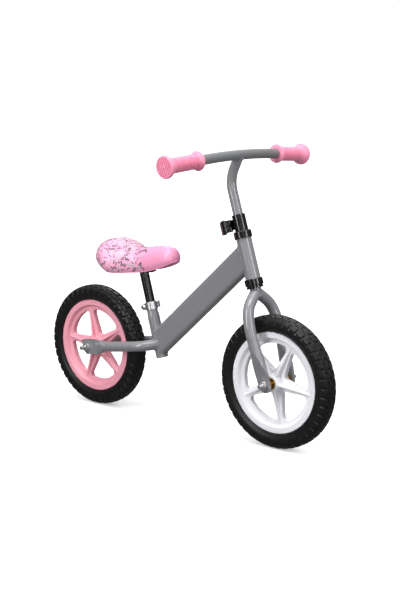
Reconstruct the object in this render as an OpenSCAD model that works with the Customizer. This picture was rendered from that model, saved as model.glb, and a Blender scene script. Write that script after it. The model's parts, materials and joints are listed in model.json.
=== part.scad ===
// Child's balance bike: steel frame and fork, two spoked plastic wheels with foam tyres,
// padded saddle and grips. Millimetres, +X forward, +Y to the rider's left, +Z up.
// The origin lies on the ground, midway between the axles.

/* [Layout] */
// Distance between the two axles
wheelbase = 560; // [520:1:600]
// Tilt of the steering axis from vertical, degrees
head_tilt = 17.5; // [15:0.5:20]
// Tilt of the seat tube from vertical, degrees
seat_tilt = 16.2; // [14:0.1:18]
// Distance of the seat tube's bottom end from mid-wheelbase, towards the rear
seat_foot_x = 64; // [55:1:75]
// Height of the seat tube's bottom end above the ground
seat_foot_z = 150; // [140:1:160]

/* [Wheels] */
// Radius to the top of the tread
wheel_r = 150; // [145:1:155]
// Width of a tyre
tyre_w = 43; // [40:1:46]
// Radius of the visible rim edge
rim_r = 114; // [108:1:116]
// Width of a rim over its lips
rim_w = 31.4; // [28:0.2:33]
// Number of spokes
spokes = 5; // [4:1:6]
// Angle of the rear wheel's first spoke, degrees
rear_spoke_angle = 31.5; // [0:0.5:72]
// Angle of the front wheel's first spoke, degrees
front_spoke_angle = 63.8; // [0:0.1:72]

/* [Frame tubes] */
// Height of the flat-sided down tube
down_tube_h = 59; // [52:1:62]
// Width of the down tube
down_tube_w = 27; // [24:1:28]
// Slope of the down tube, degrees
down_tube_slope = 41.7; // [38:0.1:44]
// Radius of the head tube
head_tube_r = 17; // [17:0.5:18]
// Length of the head tube
head_tube_l = 92; // [85:1:100]
// Radius of the seat tube below its neck
seat_tube_r = 14.3; // [14:0.1:15]
// Length of the seat tube
seat_tube_l = 136; // [130:1:145]
// Radius of the fork legs and rear stays
leg_r = 12.5; // [11.5:0.5:13]
// Wall thickness of the tubes
wall = 2; // [1.6:0.1:2.2]

/* [Saddle and handlebar] */
// Length of the saddle
saddle_l = 236; // [225:1:245]
// Greatest width of the saddle
saddle_w = 152; // [140:1:160]
// Radius of the seat post, the stem and the handlebar
post_r = 11.1; // [11.1:0.1:11.2]
// Radius of the bend in the handlebar stem
stem_bend_r = 70; // [60:5:80]
// Angle of the bend in the handlebar stem, degrees
stem_bend = 43; // [38:1:46]
// Radius of the handlebar's long curve
bar_bend_r = 1542; // [1300:10:1800]
// Half the angle of the handlebar's long curve, degrees
bar_bend = 4.5; // [4:0.1:5]
// Length of a grip
grip_l = 105; // [95:1:115]

/* [Hidden] */
$fn = 64;

frame_grey = [0.50, 0.50, 0.51];
bar_grey = [0.42, 0.42, 0.43];
black = [0.05, 0.05, 0.05];
chrome = [0.80, 0.80, 0.82];
zinc = [0.80, 0.62, 0.25];
steel = [0.65, 0.65, 0.67];
saddle_pink = [1.00, 0.66, 0.80];
grip_pink = [0.98, 0.58, 0.72];
rim_pink = [1.00, 0.60, 0.66];
rim_white = [0.93, 0.93, 0.96];

big = 400;

// Fits
join_step = 0.04;       // step between the straights and bends of a tube
slide_gap = 0.065;      // stem and post in their tubes
move_gap = 0.3;         // between pieces of different bodies that pass each other
ball_gap = 0.12;        // between balls and the race on the other body
bore_r = post_r + slide_gap;

// Axle and hub, distances from the wheel's middle plane
axle_r = 4.75;
rear_drop_y = 38;       // middle of the rear dropout plate
front_drop_y = 44;      // middle of the front dropout plate
drop_t = 7;             // thickness of a dropout plate
hub_half = 24;
cup_r = 11.5;
ball_r = 2.38;
ball_circle = 8.25;
ball_y = 20;
balls_per_race = 9;
nut_af = 15;
nut_t = 7;
washer_t = 1.6;
rear_axle_half = 62;
front_axle_half = 65;

// Along the steering axis, measured up from the front axle
crown_low = 192;
race_low = 212;
cup_low = 218;
head_low = 233;
head_top = head_low + head_tube_l;
race_top = head_top + 16.5;
collar_top = race_top + 37;
steerer_r = 12.7;
head_bore_r = head_tube_r - wall;
headset_ball_r = 2.5;
headset_ball_circle = 15.9;
headset_ball_count = 16;
collar_r = 14.8;
collar_mid = race_top + 18;
stem_low = 262;
stem_bend_s = 431;
stem_tail = 34;

// Clamp ears, bolt and lever of the handlebar collar
ear_x = -21;            // bolt position behind the steering axis
ear_h = 22;
ear_y = 7;              // outer face of an ear
slit_w = 3;
collar_pin_y = -13;
cam_r = 5.7;
paddle_h = 31;
paddle_low = -17;
paddle_r = 27;
paddle_y = 2;
paddle_t = 4.5;

// Seat clamp, along the seat tube
band_h = 18;
band_low = seat_tube_l - band_h - 1;
band_r = 14.7;
neck_r = 12.7;
band_mid = band_low + band_h / 2;
band_ear_x = -22;
band_ear_y = 4.2;
band_pin_y = 9.6;
band_cam_r = 4.6;
post_low = 50;
post_top = 211;

// Saddle, heights above the ground
saddle_rear_x = -252;
pan_depth = 5;
bracket_t = 4;
bracket_z = 352;

function steer_point(n, s) = [
    wheelbase / 2 - s * sin(head_tilt) + n * cos(head_tilt),
    0,
    wheel_r + s * cos(head_tilt) + n * sin(head_tilt)
];
function seat_point(s) = [
    -seat_foot_x - s * sin(seat_tilt), 0, seat_foot_z + s * cos(seat_tilt)
];

bar_centre = steer_point(
    stem_bend_r * (1 - cos(stem_bend)) + stem_tail * sin(stem_bend),
    stem_bend_s + stem_bend_r * sin(stem_bend) + stem_tail * cos(stem_bend)
);
bar_droop = 24.8;       // tilt of the handlebar's droop from straight down, degrees
grip_start = 12;        // from the end of the handlebar's curve
bar_straight = grip_start + grip_l - 8;

// ---------------------------------------------------------------- helpers

// Local z runs up the steering axis, from the front axle; local x points forward.
module steer_frame(s = 0) {
    translate(steer_point(0, s)) rotate([0, -head_tilt, 0]) children();
}

// Local z runs up the seat tube, from its bottom end.
module seat_frame(s = 0) {
    translate(seat_point(s)) rotate([0, -seat_tilt, 0]) children();
}

// Local z runs along the axle to the left (+Y) from the wheel's middle.
module axle_frame(x) {
    translate([x, 0, wheel_r]) rotate([-90, 0, 0]) children();
}

// The same piece on the left and on the right of the bike.
module both_sides() {
    children();
    mirror([0, 1, 0]) children();
}

module ring(r_out, r_in, h) {
    difference() {
        cylinder(r = r_out, h = h);
        translate([0, 0, -1]) cylinder(r = r_in, h = h + 2);
    }
}

module hex_nut(af, r_in, h) {
    difference() {
        cylinder(r = af / 2 / cos(30), h = h, $fn = 6);
        translate([0, 0, -1]) cylinder(r = r_in, h = h + 2);
    }
}

// A bent rod from the origin along +z. Each step is [length] or [bend radius, angle],
// and bends turn towards +x. Straight lengths are a hair thicker than the bends and reach
// a little way into them, which keeps the joins clean; two bends need a length between.
module bent_rod(steps, r, reach = 0.3, i = 0) {
    if (i < len(steps)) {
        if (len(steps[i]) == 1) {
            translate([0, 0, -reach])
                cylinder(r = r + join_step, h = steps[i][0] + 2 * reach);
            translate([0, 0, steps[i][0]]) bent_rod(steps, r, reach, i + 1);
        } else {
            after_bend(steps[i][0], steps[i][1]) bent_rod(steps, r, reach, i + 1);
            translate([steps[i][0], 0, 0])
                rotate([90, 0, 0])
                    rotate([0, 0, 180 - steps[i][1]])
                        rotate_extrude(angle = steps[i][1], $fn = 96)
                            translate([steps[i][0], 0]) circle(r, $fn = 48);
        }
    }
}

// The same rod, hollow from end to end.
module bent_tube(steps, r) {
    difference() {
        bent_rod(steps, r);
        bent_rod(steps, r - wall, 0.6);
    }
}

// Moves its children to the far end of a bend.
module after_bend(bend_r, angle) {
    translate([bend_r, 0, 0]) rotate([0, angle, 0]) translate([-bend_r, 0, 0]) children();
}

// A ring of balls round local z.
module ball_ring(circle_r, r, count) {
    for (i = [0:count - 1])
        rotate([0, 0, i * 360 / count]) translate([circle_r, 0, 0]) sphere(r, $fn = 24);
}

// ---------------------------------------------------------------- frame

module head_tube() {
    color(frame_grey) steer_frame(head_low) ring(head_tube_r, head_bore_r, head_tube_l);
}

// Where the down tube's middle line crosses the seat tube's.
down_tube_cross = seat_point(35);

module rounded_bar(h, w, r) {
    square([h - 2 * r, w], center = true);
    square([h, w - 2 * r], center = true);
    for (a = [-1, 1], b = [-1, 1])
        translate([a * (h / 2 - r), b * (w / 2 - r)]) circle(r);
}

module down_tube_block(h, w, r) {
    translate(down_tube_cross)
        rotate([0, 90 - down_tube_slope, 0])
            linear_extrude(big) rounded_bar(h, w, r);
}

module down_tube() {
    corner = 10;
    color(frame_grey) difference() {
        down_tube_block(down_tube_h, down_tube_w, corner);
        down_tube_block(down_tube_h - 2 * wall, down_tube_w - 2 * wall, corner - wall);
        // coped to the seat tube, and nothing behind the middle of it
        seat_frame() translate([0, 0, -big / 2]) cylinder(r = seat_tube_r, h = big);
        seat_frame() translate([-big, -big / 2, -big / 2]) cube([big, big, big]);
        // coped to the head tube, and nothing ahead of the middle of it
        steer_frame() cylinder(r = head_tube_r, h = 2 * big);
        steer_frame() translate([0, -big / 2, 0]) cube([big, big, 2 * big]);
    }
}

module seat_tube() {
    neck_low = seat_tube_l - 20;
    taper_low = neck_low - 16;
    color(frame_grey) seat_frame() difference() {
        union() {
            cylinder(r = seat_tube_r, h = taper_low);
            translate([0, 0, taper_low])
                cylinder(r1 = seat_tube_r, r2 = neck_r, h = neck_low - taper_low);
            cylinder(r = neck_r, h = seat_tube_l);
        }
        translate([0, 0, -1]) cylinder(r = bore_r, h = seat_tube_l + 2);
        // slit at the back that lets the clamp close
        translate([-seat_tube_r - 2, -slit_w / 2, neck_low - 6])
            cube([seat_tube_r, slit_w, seat_tube_l]);
    }
}

// Rear stays lie in a plane that rises from the rear axle to the seat tube.
stay_rise = 8.8;
stay_run = 162;
stay_y = 40;

// Flattened end of a tube: a plate across local x with the given outline, thickening into
// the round tube along +z. The tube's middle is tube_y to the outside of the plate's.
module tube_end(width, tube_y, plate_top, round_low) {
    difference() {
        union() {
            rotate([90, 0, 0]) linear_extrude(drop_t, center = true) children();
            intersection() {
                translate([0, tube_y, plate_top - 2])
                    cylinder(r1 = width / 2 + 0.6, r2 = leg_r - 0.05, h = round_low - plate_top + 2);
                rotate([90, 0, 90]) linear_extrude(big, center = true) polygon([
                    [-drop_t / 2, plate_top - 3], [drop_t / 2, plate_top - 3],
                    [drop_t / 2, plate_top], [tube_y + leg_r + 1, round_low - 3],
                    [tube_y + leg_r + 1, round_low + 1], [tube_y - leg_r - 1, round_low + 1],
                    [tube_y - leg_r - 1, round_low - 3], [-drop_t / 2, plate_top]
                ]);
            }
        }
        rotate([90, 0, 0]) cylinder(r = axle_r + 0.15, h = 4 * drop_t, center = true);
    }
}

module left_stay_solid() {
    plate_w = 37;
    plate_top = 32;
    round_low = 70;
    translate([-wheelbase / 2, 0, wheel_r]) rotate([0, -stay_rise, 0]) rotate([0, 90, 0]) {
        translate([0, rear_drop_y, 0])
            tube_end(plate_w, stay_y - rear_drop_y, plate_top, round_low)
                polygon([
                    [-plate_w / 2, plate_top], [-plate_w / 2, -14.5],
                    [plate_w / 2 - 11, -14.5], [plate_w / 2, -3],
                    [plate_w / 2, plate_top]
                ]);
        translate([0, stay_y, round_low]) rotate([0, 0, -90])
            bent_tube([[stay_run - round_low], [45, 55], [40]], leg_r);
    }
}

module left_stay_coped() {
    difference() {
        left_stay_solid();
        seat_frame() translate([0, 0, -big / 2]) cylinder(r = seat_tube_r, h = big);
        down_tube_block(down_tube_h, down_tube_w, 10);
        translate([-big, -big, -1]) cube([2 * big, big, big]);
    }
}

module left_stay() {
    color(frame_grey) left_stay_coped();
}

module right_stay() {
    color(frame_grey) mirror([0, 1, 0]) left_stay_coped();
}

// ---------------------------------------------------------------- headset

module lower_headset_cup() {
    roof = cup_low + 9;
    color(black) steer_frame() rotate_extrude() polygon([
        [18.6, cup_low], [20, cup_low], [20.5, cup_low + 1.5], [20.5, head_low - 1],
        [20, head_low], [head_bore_r, head_low], [head_bore_r, head_low + 10],
        [13.6, head_low + 10], [13.6, roof], [18.6, roof]
    ]);
}

module lower_headset_balls() {
    color(steel) steer_frame(cup_low + 9 - headset_ball_r)
        ball_ring(headset_ball_circle, headset_ball_r, headset_ball_count);
}

module crown_race() {
    top = cup_low + 9 - 2 * headset_ball_r - ball_gap;
    slots = 18;
    color(black) steer_frame() difference() {
        rotate_extrude() polygon([
            [steerer_r, race_low], [18.8, race_low], [18.8, cup_low - 0.8], [17, cup_low - 0.8],
            [17, top], [steerer_r, top]
        ]);
        for (i = [0:slots - 1]) rotate([0, 0, i * 360 / slots])
            translate([17.8, -1.6, race_low + 1.4]) cube([3, 3.2, 2.4]);
    }
}

module upper_headset_cup() {
    rim = head_top + 9;
    floor_s = rim - 4;
    color(black) steer_frame() rotate_extrude() polygon([
        [13.6, head_top - 10], [head_bore_r, head_top - 10], [head_bore_r, head_top],
        [19.5, head_top], [20, head_top + 1], [20, rim], [18.5, rim], [18.5, floor_s],
        [13.6, floor_s]
    ]);
}

module upper_headset_balls() {
    color(steel) steer_frame(head_top + 5 + headset_ball_r)
        ball_ring(headset_ball_circle, headset_ball_r, headset_ball_count);
}

module top_race() {
    low = head_top + 5 + 2 * headset_ball_r + ball_gap;
    lip = head_top + 9 + move_gap;
    color(black) steer_frame() rotate_extrude() polygon([
        [steerer_r, low], [17.6, low], [17.6, lip], [20, lip], [20, race_top - 2],
        [18.5, race_top], [steerer_r, race_top]
    ]);
}

// ---------------------------------------------------------------- fork

module steerer_tube() {
    color(frame_grey) steer_frame() difference() {
        translate([0, 0, crown_low]) cylinder(r = steerer_r, h = collar_top - crown_low);
        translate([0, 0, crown_low + 4]) cylinder(r = bore_r, h = collar_top);
        translate([-steerer_r - 2, -slit_w / 2, collar_mid - 14])
            cube([steerer_r, slit_w, collar_top]);
    }
}

leg_tilt = 2.9;         // the legs widen upwards, degrees

module left_leg_solid() {
    plate_w = 31;
    plate_top = 22;
    round_low = 82;
    straight = 112 - round_low;
    steer_frame() translate([0, front_drop_y, 0]) rotate([-leg_tilt, 0, 0]) {
        tube_end(plate_w, 0, plate_top, round_low)
            polygon([
                [-plate_w / 2, plate_top], [-plate_w / 2, -6], [-4, -16.5],
                [8, -16.5], [plate_w / 2 - 3, -9], [plate_w / 2, plate_top]
            ]);
        translate([0, 0, round_low]) rotate([0, 0, -90])
            bent_tube([[straight], [137, 16.9], [0.4], [60, 38], [45]], leg_r);
    }
}

module left_leg_coped() {
    difference() {
        left_leg_solid();
        // flat seat round the axle for the locknut
        axle_frame(wheelbase / 2) translate([0, 0, front_drop_y - drop_t / 2 - 8])
            cylinder(r = 10, h = 8);
        steer_frame(crown_low) cylinder(r = steerer_r, h = big);
        steer_frame(race_low - move_gap) translate([-big / 2, -big / 2, 0])
            cube([big, big, big]);
        translate([-big, -big, -1]) cube([2 * big, big, 2 * big]);
    }
}

module left_fork_leg() {
    color(frame_grey) left_leg_coped();
}

module right_fork_leg() {
    color(frame_grey) mirror([0, 1, 0]) left_leg_coped();
}

module clamp_collar() {
    color(black) steer_frame() difference() {
        union() {
            translate([0, 0, race_top]) cylinder(r = collar_r, h = collar_top - race_top);
            for (side = [-1, 1])
                translate([ear_x - 5.5, side > 0 ? slit_w / 2 : -ear_y, collar_mid - ear_h / 2])
                    cube([-ear_x - 5.5, ear_y - slit_w / 2, ear_h]);
        }
        translate([0, 0, race_top - 1]) cylinder(r = steerer_r, h = big);
        translate([-collar_r - 2, -slit_w / 2, race_top - 1])
            cube([collar_r - 5, slit_w, collar_top - race_top + 2]);
        translate([ear_x, 0, collar_mid]) rotate([90, 0, 0])
            cylinder(r = 3.2, h = 4 * ear_y, center = true);
    }
}

// Bolt through the clamp ears, ending in an eye that holds the lever's pin.
module clamp_bolt(x, pin_y, tail_y, r, eye_r, eye_h, pin_r) {
    reach = tail_y - pin_y;
    dir = reach > 0 ? -90 : 90;
    difference() {
        union() {
            translate([x, pin_y, 0]) rotate([dir, 0, 0]) cylinder(r = r, h = abs(reach));
            translate([x, pin_y, -eye_h / 2]) cylinder(r = eye_r, h = eye_h);
        }
        translate([x, pin_y, 0]) cylinder(r = pin_r, h = 2 * eye_h, center = true);
    }
}

module collar_bolt() {
    color(steel) steer_frame(collar_mid)
        clamp_bolt(ear_x, collar_pin_y, 14.5, 3, 4.4, 7, 1.5);
}

module collar_nut() {
    color(black) steer_frame(collar_mid) translate([ear_x, ear_y, 0]) rotate([-90, 0, 0])
        hex_nut(10, 3, 5.5);
}

module collar_pin() {
    color(steel) steer_frame(collar_mid) translate([ear_x, collar_pin_y, 0])
        cylinder(r = 1.5, h = 18, center = true);
}

// Sector of a ring in the plane z = 0, from angle a0 to a1.
module sector(r_out, r_in, a0, a1) {
    steps = 14;
    polygon(concat(
        [for (i = [0:steps]) let (a = a0 + (a1 - a0) * i / steps) r_out * [cos(a), sin(a)]],
        [for (i = [steps:-1:0]) let (a = a0 + (a1 - a0) * i / steps) r_in * [cos(a), sin(a)]]
    ));
}

module collar_lever() {
    cam_h = 27;
    cam_z = -1.5;
    slot_h = 7.8;
    px = ear_x - 4;
    color(black) steer_frame(collar_mid) difference() {
        union() {
            translate([ear_x, collar_pin_y, cam_z]) cylinder(r = cam_r, h = cam_h, center = true);
            // wide paddle that curls round behind the ears
            translate([px, paddle_y, paddle_low])
                linear_extrude(paddle_h) sector(paddle_r, paddle_r - paddle_t, 178, 272);
            // arm from the cam out to the paddle
            translate([ear_x - 8, collar_pin_y - 10, cam_z - cam_h / 2]) cube([9, 11, cam_h]);
        }
        // room for the bolt and its eye, all the way round the swing
        translate([ear_x, collar_pin_y, 0]) cylinder(r = 4.9, h = slot_h, center = true);
        translate([ear_x - 4.9, collar_pin_y, -slot_h / 2]) cube([18, 14, slot_h]);
        translate([ear_x - 0.4, collar_pin_y - 3.9, -slot_h / 2]) cube([18, 5, slot_h]);
        translate([ear_x, collar_pin_y, 0]) cylinder(r = 1.55, h = big, center = true);
        // the paddle's top edge falls away from the collar
        translate([ear_x - 8, -60, paddle_low + paddle_h])
            rotate([0, -14, 0]) translate([-80, 0, 0]) cube([80, 120, 30]);
    }
}

// ---------------------------------------------------------------- seat clamp

module seat_clamp_band() {
    ear_t = band_ear_y - slit_w / 2;
    color(chrome) seat_frame(band_mid) difference() {
        union() {
            cylinder(r = band_r, h = band_h, center = true);
            for (side = [-1, 1]) translate([0, side * (slit_w + ear_t) / 2, 0]) {
                translate([band_ear_x, 0, 0]) rotate([90, 0, 0])
                    cylinder(r = 7, h = ear_t, center = true);
                translate([band_ear_x / 2 - 3, 0, 0])
                    cube([-band_ear_x - 4, ear_t, 14], center = true);
            }
        }
        cylinder(r = neck_r, h = 2 * band_h, center = true);
        translate([-band_r - 2, 0, 0]) cube([band_r, slit_w, 2 * band_h], center = true);
        translate([band_ear_x, 0, 0]) rotate([90, 0, 0])
            cylinder(r = 2.7, h = 8 * band_ear_y, center = true);
    }
}

module seat_clamp_bolt() {
    color(chrome) seat_frame(band_mid)
        clamp_bolt(band_ear_x, band_pin_y, -band_ear_y - 5.5, 2.5, 3.6, 4.6, 1.25);
}

module seat_clamp_nut() {
    color(chrome) seat_frame(band_mid) translate([band_ear_x, -band_ear_y, 0])
        rotate([90, 0, 0]) {
            hex_nut(9, 2.5, 4);
            translate([0, 0, 4]) ring(4, 2.5, 1.5);
        }
}

module seat_clamp_pin() {
    color(chrome) seat_frame(band_mid) translate([band_ear_x, band_pin_y, 0])
        cylinder(r = 1.25, h = 14, center = true);
}

module seat_clamp_lever() {
    lever_r = 19.5;
    lever_t = 1.8;
    cam_h = 13;
    color(chrome) seat_frame(band_mid) difference() {
        union() {
            translate([band_ear_x, band_pin_y, -cam_h / 2]) cylinder(r = band_cam_r, h = cam_h);
            // strip that follows the band, ending in a flared thumb tip
            translate([0, 0, -cam_h / 2])
                linear_extrude(cam_h) sector(lever_r, lever_r - lever_t, 72, 146);
            translate([4.4, lever_r - 1.8, -cam_h / 2]) cube([lever_t, 7, cam_h + 3]);
            translate([band_ear_x + 1, band_pin_y, -cam_h / 2]) cube([5, 4.2, cam_h]);
        }
        translate([band_ear_x, band_pin_y, 0]) cylinder(r = 3.95, h = 5.2, center = true);
        translate([band_ear_x - 14, band_pin_y - 12, -2.6]) cube([17, 12, 5.2]);
        translate([band_ear_x - 14, band_pin_y - 1, -2.6]) cube([14.4, 14, 5.2]);
        translate([band_ear_x, band_pin_y, 0]) cylinder(r = 1.3, h = big, center = true);
    }
}

// ---------------------------------------------------------------- saddle

module seat_post() {
    color(black) seat_frame(post_low) difference() {
        cylinder(r = post_r, h = post_top - post_low);
        translate([0, 0, -1]) cylinder(r = post_r - 1.5, h = post_top - post_low - 2);
    }
}

module post_plug() {
    color(black) seat_frame(post_low) difference() {
        translate([0, 0, -1.5]) cylinder(r = post_r - 0.2, h = 9.5);
        translate([0, 0, 0]) ring(post_r + 1, post_r - 1.55, 10);
    }
}

// Value at u of the smooth curve through a list of [u, value] points.
function curve(pts, u, i = 0) =
    i >= len(pts) - 2 || u <= pts[i + 1][0]
        ? let (t = (u - pts[i][0]) / (pts[i + 1][0] - pts[i][0]))
          pts[i][1] + (pts[i + 1][1] - pts[i][1]) * t * t * (3 - 2 * t)
        : curve(pts, u, i + 1);

// Saddle outline, by distance from its rear end (0) to its nose (1)
saddle_width = [[0, 0.96], [0.24, 1], [0.62, 0.42], [1, 0.36]];
saddle_crown = [[0, 408], [0.18, 425], [0.48, 408.5], [0.86, 420.5], [1, 414]];
saddle_rim = [[0, 376], [0.22, 352], [0.56, 352], [0.82, 366], [1, 386]];

function end_round(u) =
    let (a = u < 0.28 ? 1 - u / 0.28 : u > 0.9 ? (u - 0.9) / 0.1 : 0) sqrt(max(0, 1 - a * a));
function saddle_half(u) = saddle_w / 2 * curve(saddle_width, u) * end_round(u);

// One closed section across the saddle at u, shrunk by inset; top and bottom are heights.
function saddle_section(u, inset, top, bottom) =
    let (
        half = max(0.5, saddle_half(u) - inset),
        x = saddle_rear_x + inset + (saddle_l - 2 * inset) * u,
        belly = bottom + 0.3 * (top - bottom)
    )
    [for (i = [0:saddle_sides - 1])
        let (
            a = -32 + 244 * i / (saddle_sides - 1),
            y = half * sign(cos(a)) * pow(abs(cos(a)), 0.85),
            z = sin(a) > 0 ? belly + (top - belly) * pow(sin(a), 0.85)
                           : belly + (belly - bottom) * sin(a) / sin(32)
        ) [x, y, z]];

saddle_sides = 22;
saddle_steps = 30;
function saddle_u(i) = (1 - cos(180 * i / saddle_steps)) / 2;

// Closed skin over a list of equal rings.
module ring_skin(rings) {
    count = len(rings);
    sides = len(rings[0]);
    polyhedron(
        points = [for (r = rings, p = r) p],
        faces = concat(
            [[for (j = [0:sides - 1]) j]],
            [for (i = [0:count - 2], j = [0:sides - 1])
                let (a = i * sides + j, b = i * sides + (j + 1) % sides) [a, b + sides, b]],
            [for (i = [0:count - 2], j = [0:sides - 1])
                let (a = i * sides + j, b = i * sides + (j + 1) % sides) [a, a + sides, b + sides]],
            [[for (j = [sides - 1:-1:0]) (count - 1) * sides + j]]
        )
    );
}

module saddle_body(inset, low_lift, height) {
    ring_skin([for (i = [0:saddle_steps])
        let (
            u = saddle_u(i),
            low = curve(saddle_rim, u),
            soft = 0.55 + 0.45 * end_round(u),
            high = low + (curve(saddle_crown, u) - low) * soft,
            bottom = low + low_lift
        )
        saddle_section(u, inset, height > 0 ? bottom + height : high, bottom)]);
}

module saddle_cover() {
    color(saddle_pink) difference() {
        saddle_body(0, 0, 0);
        saddle_body(6.5, -9, pan_depth + 23);
    }
}

module saddle_base() {
    color(black) difference() {
        saddle_body(16, 5, pan_depth);
        seat_frame() cylinder(r = post_r, h = 2 * post_top);
        at_screws() translate([0, 0, -1]) cylinder(r = 2, h = 20);
        translate([-big, -big, -1]) cube([2 * big, 2 * big, 1]);
    }
}

module saddle_bracket() {
    color(black) difference() {
        translate([seat_point(post_top)[0] - 38, -17, bracket_z]) cube([62, 34, bracket_t]);
        seat_frame() cylinder(r = post_r, h = 2 * post_top);
        at_screws() translate([0, 0, -1]) cylinder(r = 2, h = 20);
    }
}

module at_screws() {
    for (dx = [-31, 17], dy = [-11, 11])
        translate([seat_point(post_top)[0] + dx, dy, bracket_z]) children();
}

module saddle_screws() {
    color(steel) at_screws() {
        translate([0, 0, -2.4]) cylinder(r = 4, h = 2.4);
        cylinder(r = 2, h = bracket_t + 3.2);
    }
}

// ---------------------------------------------------------------- handlebar

module handlebar_stem() {
    color(frame_grey) difference() {
        steer_frame(stem_low)
            bent_tube([[stem_bend_s - stem_low], [stem_bend_r, stem_bend], [stem_tail - 2]],
                post_r);
        translate(bar_centre) rotate([90, 0, 0])
            cylinder(r = post_r + 0.05, h = 60, center = true);
    }
}

module stem_plug() {
    color(black) steer_frame(stem_low) union() {
        translate([0, 0, -2.3]) cylinder(r = post_r - 0.3, h = 2);
        translate([0, 0, -1]) cylinder(r = post_r - wall, h = 9);
    }
}

// Local z runs along the bar to the left from its middle, local x points down the droop.
module bar_frame() {
    translate(bar_centre) rotate([-90, 0, 0]) rotate([0, 0, 90 + bar_droop]) children();
}

module handlebar_crossbar() {
    color(bar_grey) bar_frame() after_bend(bar_bend_r, -bar_bend)
        translate([0, 0, -bar_straight])
            bent_tube([[bar_straight], [bar_bend_r, 2 * bar_bend], [bar_straight]], post_r);
}

// Grip along +z: a flange at each end and ribs between them.
module grip_solid() {
    ribs = 15;
    pitch = 4.5;
    rib_low = 12.5;
    body_r = 15.5;
    rotate_extrude() polygon(concat(
        [[post_r + join_step, 0], [18, 0], [20.6, 1.2], [21.5, 3.4], [20.6, 5.6], [16.6, 9],
         [body_r, 11]],
        [for (i = [0:ribs - 1], k = [0:3])
            [body_r + (k == 1 || k == 2 ? 0.8 : 0), rib_low + pitch * (i + [0, 0.2, 0.6, 0.8][k])]],
        [[body_r, grip_l - 22], [17.4, grip_l - 17], [22, grip_l - 10], [24.4, grip_l - 7],
         [24.7, grip_l - 4], [24, grip_l - 1], [23, grip_l], [0, grip_l + 0.4],
         [0, grip_l - 7], [post_r + join_step, grip_l - 7]]
    ));
}

module left_grip_solid() {
    bar_frame() after_bend(bar_bend_r, bar_bend) translate([0, 0, grip_start]) grip_solid();
}

module left_grip() {
    color(grip_pink) left_grip_solid();
}

module right_grip() {
    color(grip_pink) mirror([0, 1, 0]) left_grip_solid();
}

// ---------------------------------------------------------------- wheels

window_out = 88;        // radius of the windows' outer edge
window_round = 9;       // radius of the windows' corners
spoke_half = 7.5;       // half the width of a spoke at the rim
spoke_flare = 7;        // the windows' sides open by this angle, degrees
web_half = 6.5;
rib_half = 2.6;

// Window between the spoke at angle 0 and the next one. Each side is a line that starts
// spoke_half from the spoke's middle at the rim and leans away from it towards the hub.
function turn(a, p) = [p[0] * cos(a) - p[1] * sin(a), p[0] * sin(a) + p[1] * cos(a)];
function arc(c, r, a0, a1, n) = [for (i = [0:n]) let (a = a0 + (a1 - a0) * i / n)
    c + r * [cos(a), sin(a)]];
function window_outline() =
    let (
        half = 180 / spokes,
        lean = -spoke_flare,
        // corner centre near the rim: window_round off the side line, and off the outer arc
        side = spoke_half + window_round,
        reach = window_out - window_round,
        c_out = [sqrt(reach * reach - side * side), side],
        // the side's direction, from the rim towards the hub
        dir = [-cos(lean), -sin(lean)],
        // inner corner centre: on the bisector, where the offset side line crosses it
        t = (c_out[1] - c_out[0] * tan(half)) / (dir[0] * tan(half) - dir[1]),
        c_in = c_out + dir * t,
        out_a = atan2(c_out[1], c_out[0]),
        low_half = concat(
            arc(c_in, window_round, -90 + lean - (90 + lean - half), -90 + lean, 4),
            arc(c_out, window_round, -90 + lean, out_a, 6),
            arc([0, 0], window_out, out_a + 2, half, 3)
        )
    )
    concat(low_half, [for (i = [len(low_half) - 2:-1:1])
        let (p = turn(-half, low_half[i])) turn(half, [p[0], -p[1]])]);

module wheel_windows() {
    for (i = [0:spokes - 1]) rotate([0, 0, i * 360 / spokes])
        linear_extrude(4 * web_half, center = true) polygon(window_outline());
}

// Raised rib along the middle of each spoke, on both faces, higher towards the hub.
module spoke_ribs() {
    for (i = [0:spokes - 1]) rotate([0, 0, i * 360 / spokes])
        rotate([90, 0, 0]) linear_extrude(2 * rib_half, center = true)
            polygon([
                [14, -hub_half + 2], [24, -hub_half + 6], [97, -web_half - 1], [97, web_half + 1],
                [24, hub_half - 6], [14, hub_half - 2]
            ]);
}

module rim_solid() {
    lip = rim_w / 2;
    bed = rim_r - 8;
    difference() {
        union() {
            rotate_extrude($fn = 128) polygon([
                [60, -web_half], [97, -web_half], [100.5, -lip], [rim_r, -lip],
                [rim_r, -lip + 2.2], [bed, -lip + 2.2], [bed, lip - 2.2], [rim_r, lip - 2.2],
                [rim_r, lip], [100.5, lip], [97, web_half], [60, web_half]
            ]);
            difference() {
                union() {
                    cylinder(r = 61, h = 2 * web_half, center = true);
                }
                cylinder(r = 5, h = 3 * web_half, center = true);
            }
            spoke_ribs();
            rotate_extrude() polygon([
                [8, -hub_half], [15, -hub_half], [17, -hub_half + 2], [19.5, -web_half],
                [19.5, web_half], [17, hub_half - 2], [15, hub_half], [8, hub_half]
            ]);
        }
        wheel_windows();
        cylinder(r = 8, h = 3 * hub_half, center = true);
        for (side = [-1, 1]) translate([0, 0, side * hub_half])
            cylinder(r = cup_r, h = 16, center = true);
    }
}

module wheel_frame(x, first_spoke) {
    translate([x, 0, wheel_r]) rotate([90, 0, 0]) rotate([0, 0, first_spoke]) children();
}

module tyre_solid() {
    half = tyre_w / 2;
    lip = rim_w / 2;
    bed = rim_r - 8;
    seat = lip - 2.2;
    flank = [
        [bed, seat], [rim_r, seat], [rim_r + 0.1, lip], [rim_r + 4, lip + 3.4],
        [rim_r + 12, half], [wheel_r - 13, half], [wheel_r - 5, half - 3.5], [wheel_r - 1.2, half - 9],
        [wheel_r, half - 14]
    ];
    rotate_extrude($fn = 128) polygon(concat(
        flank, [for (i = [len(flank) - 1:-1:0]) [flank[i][0], -flank[i][1]]]
    ));
}

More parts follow.
